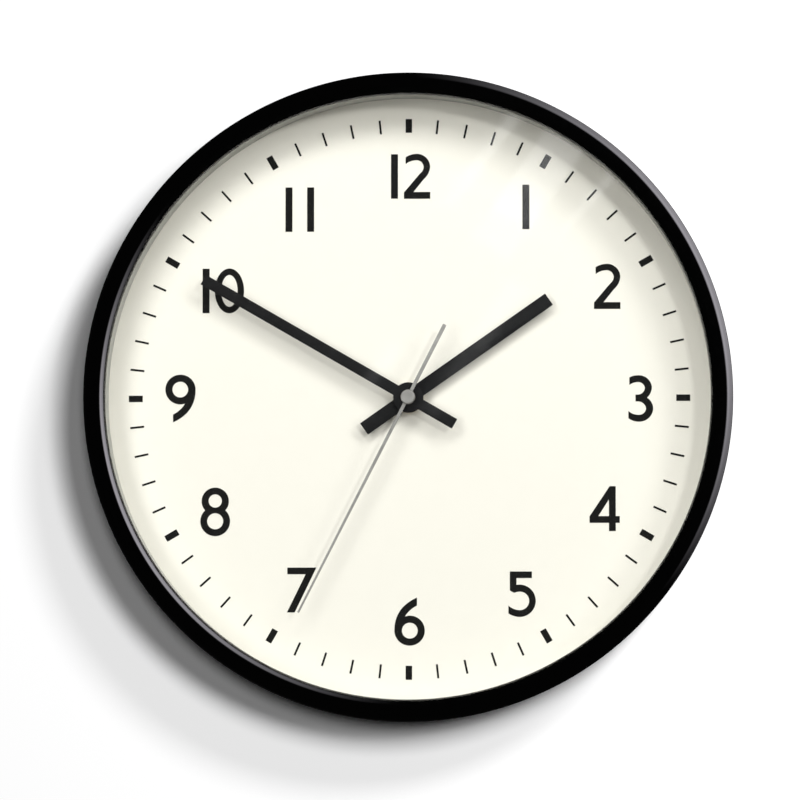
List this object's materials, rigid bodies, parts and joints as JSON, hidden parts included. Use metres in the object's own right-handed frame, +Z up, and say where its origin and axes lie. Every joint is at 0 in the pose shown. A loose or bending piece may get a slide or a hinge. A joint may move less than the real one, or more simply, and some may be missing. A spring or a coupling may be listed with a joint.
{
  "type": "round quartz wall clock",
  "caption": "Round wall clock: black moulded case, glass front, cream dial with black numerals, hour, minute and second hands, geared quartz movement and keyhole hanger.",
  "frame": {"origin": "on the hands' axis where it meets the wall: the centre of the case's rear rim", "axes": "+Z up to twelve o'clock, +X to three o'clock as seen from the front, -Y out of the dial towards the viewer, +Y into the wall"},
  "size_m": [0.3, 0.046, 0.3],
  "materials": {
    "case_black": "black gloss",
    "glass": "clear, flat",
    "black_rubber": "matt",
    "spacer_white": "matt off-white",
    "dial_cream": "matt cream",
    "ink_black": "printed ink",
    "cover_black": "fine moulded texture",
    "zinc_steel": "zinc plated",
    "movement_black": "fine moulded texture",
    "white_nylon": "moulded nylon",
    "brass": "turned",
    "steel": "polished",
    "silicon_steel": "stamped",
    "magnet_grey": "sintered",
    "copper_wire": "enamelled copper wire",
    "board_brown": "phenolic board",
    "chip_black": "epoxy",
    "contact_nickel": "nickel plated",
    "cell_grey": "plain satin sleeve",
    "hand_black": "matt black paint",
    "hand_silver": "satin silver"
  },
  "bodies": {
    "case": {"case_ring": "case_black", "lens": "glass", "lens_gasket": "black_rubber", "spacer_ring": "spacer_white", "dial_plate": "dial_cream", "hour_numerals": "ink_black", "hour_marks": "ink_black", "minute_marks": "ink_black", "rear_cover": "cover_black", "rear_cover_screws": "zinc_steel", "hanger_plate": "zinc_steel", "hanger_screws": "zinc_steel", "movement_housing": "movement_black", "movement_cover": "movement_black", "movement_gasket": "black_rubber", "train_plate": "white_nylon", "stem_bushing": "brass", "stem_washer": "brass", "stem_nut": "brass", "coil_bobbin": "white_nylon", "coil_winding": "copper_wire", "coil_core": "silicon_steel", "stator": "silicon_steel", "circuit_board": "board_brown", "quartz_crystal": "steel", "control_chip": "chip_black", "contact_positive": "contact_nickel", "contact_negative": "contact_nickel"},
    "rotor": {"rotor_pinion": "white_nylon", "rotor_magnet": "magnet_grey"},
    "intermediate": {"intermediate_wheel": "white_nylon"},
    "third": {"third_wheel": "white_nylon"},
    "seconds": {"seconds_wheel": "white_nylon", "seconds_arbor": "steel", "second_hand": "hand_silver", "second_hand_boss": "hand_silver"},
    "centre": {"centre_wheel": "brass"},
    "minutes": {"minute_tube": "brass", "clutch_spring": "steel", "minute_hand": "hand_black", "minute_hand_nut": "brass"},
    "motion": {"motion_wheel": "white_nylon"},
    "hours": {"hour_wheel": "white_nylon", "hour_hand": "hand_black", "hour_hand_collar": "brass"},
    "knob": {"setting_knob": "white_nylon"},
    "battery": {"battery_can": "cell_grey", "battery_nub": "contact_nickel"}
  },
  "joints": [
    {"name": "second_hand_turn", "type": "hinge", "parent": "case", "child": "seconds", "pos_m": [0, 0, 0], "axis": [0, 1, 0], "continuous": true},
    {"name": "minute_hand_turn", "type": "hinge", "parent": "case", "child": "minutes", "pos_m": [0, 0, 0], "axis": [0, 1, 0], "continuous": true},
    {"name": "rotor_turn", "type": "hinge", "parent": "case", "child": "rotor", "pos_m": [-0.01129, 0, 0.01056], "axis": [0, 1, 0], "continuous": true},
    {"name": "intermediate_turn", "type": "hinge", "parent": "case", "child": "intermediate", "pos_m": [-0.00779, 0, 0.0045], "axis": [0, 1, 0], "continuous": true},
    {"name": "third_wheel_turn", "type": "hinge", "parent": "case", "child": "third", "pos_m": [0.00425, 0, 0.00736], "axis": [0, 1, 0], "continuous": true},
    {"name": "centre_wheel_turn", "type": "hinge", "parent": "case", "child": "centre", "pos_m": [0, 0, 0], "axis": [0, 1, 0], "continuous": true},
    {"name": "motion_wheel_turn", "type": "hinge", "parent": "case", "child": "motion", "pos_m": [0.00739, 0, -0.0013], "axis": [0, 1, 0], "continuous": true},
    {"name": "hour_hand_turn", "type": "hinge", "parent": "case", "child": "hours", "pos_m": [0, 0, 0], "axis": [0, 1, 0], "continuous": true},
    {"name": "setting_knob_turn", "type": "hinge", "parent": "case", "child": "knob", "pos_m": [0.01418, 0, 0.00187], "axis": [0, 1, 0], "continuous": true},
    {"name": "battery_slide", "type": "slide", "parent": "case", "child": "battery", "axis": [0, 1, 0], "range_m": [0, 0.02]}
  ],
  "couplings": [
    {"joint": "rotor_turn", "follows": "second_hand_turn", "ratio": 30},
    {"joint": "intermediate_turn", "follows": "second_hand_turn", "ratio": -5},
    {"joint": "third_wheel_turn", "follows": "second_hand_turn", "ratio": -0.13333},
    {"joint": "centre_wheel_turn", "follows": "second_hand_turn", "ratio": 0.016667},
    {"joint": "motion_wheel_turn", "follows": "minute_hand_turn", "ratio": -0.33333},
    {"joint": "hour_hand_turn", "follows": "minute_hand_turn", "ratio": 0.083333},
    {"joint": "setting_knob_turn", "follows": "minute_hand_turn", "ratio": 1}
  ]
}
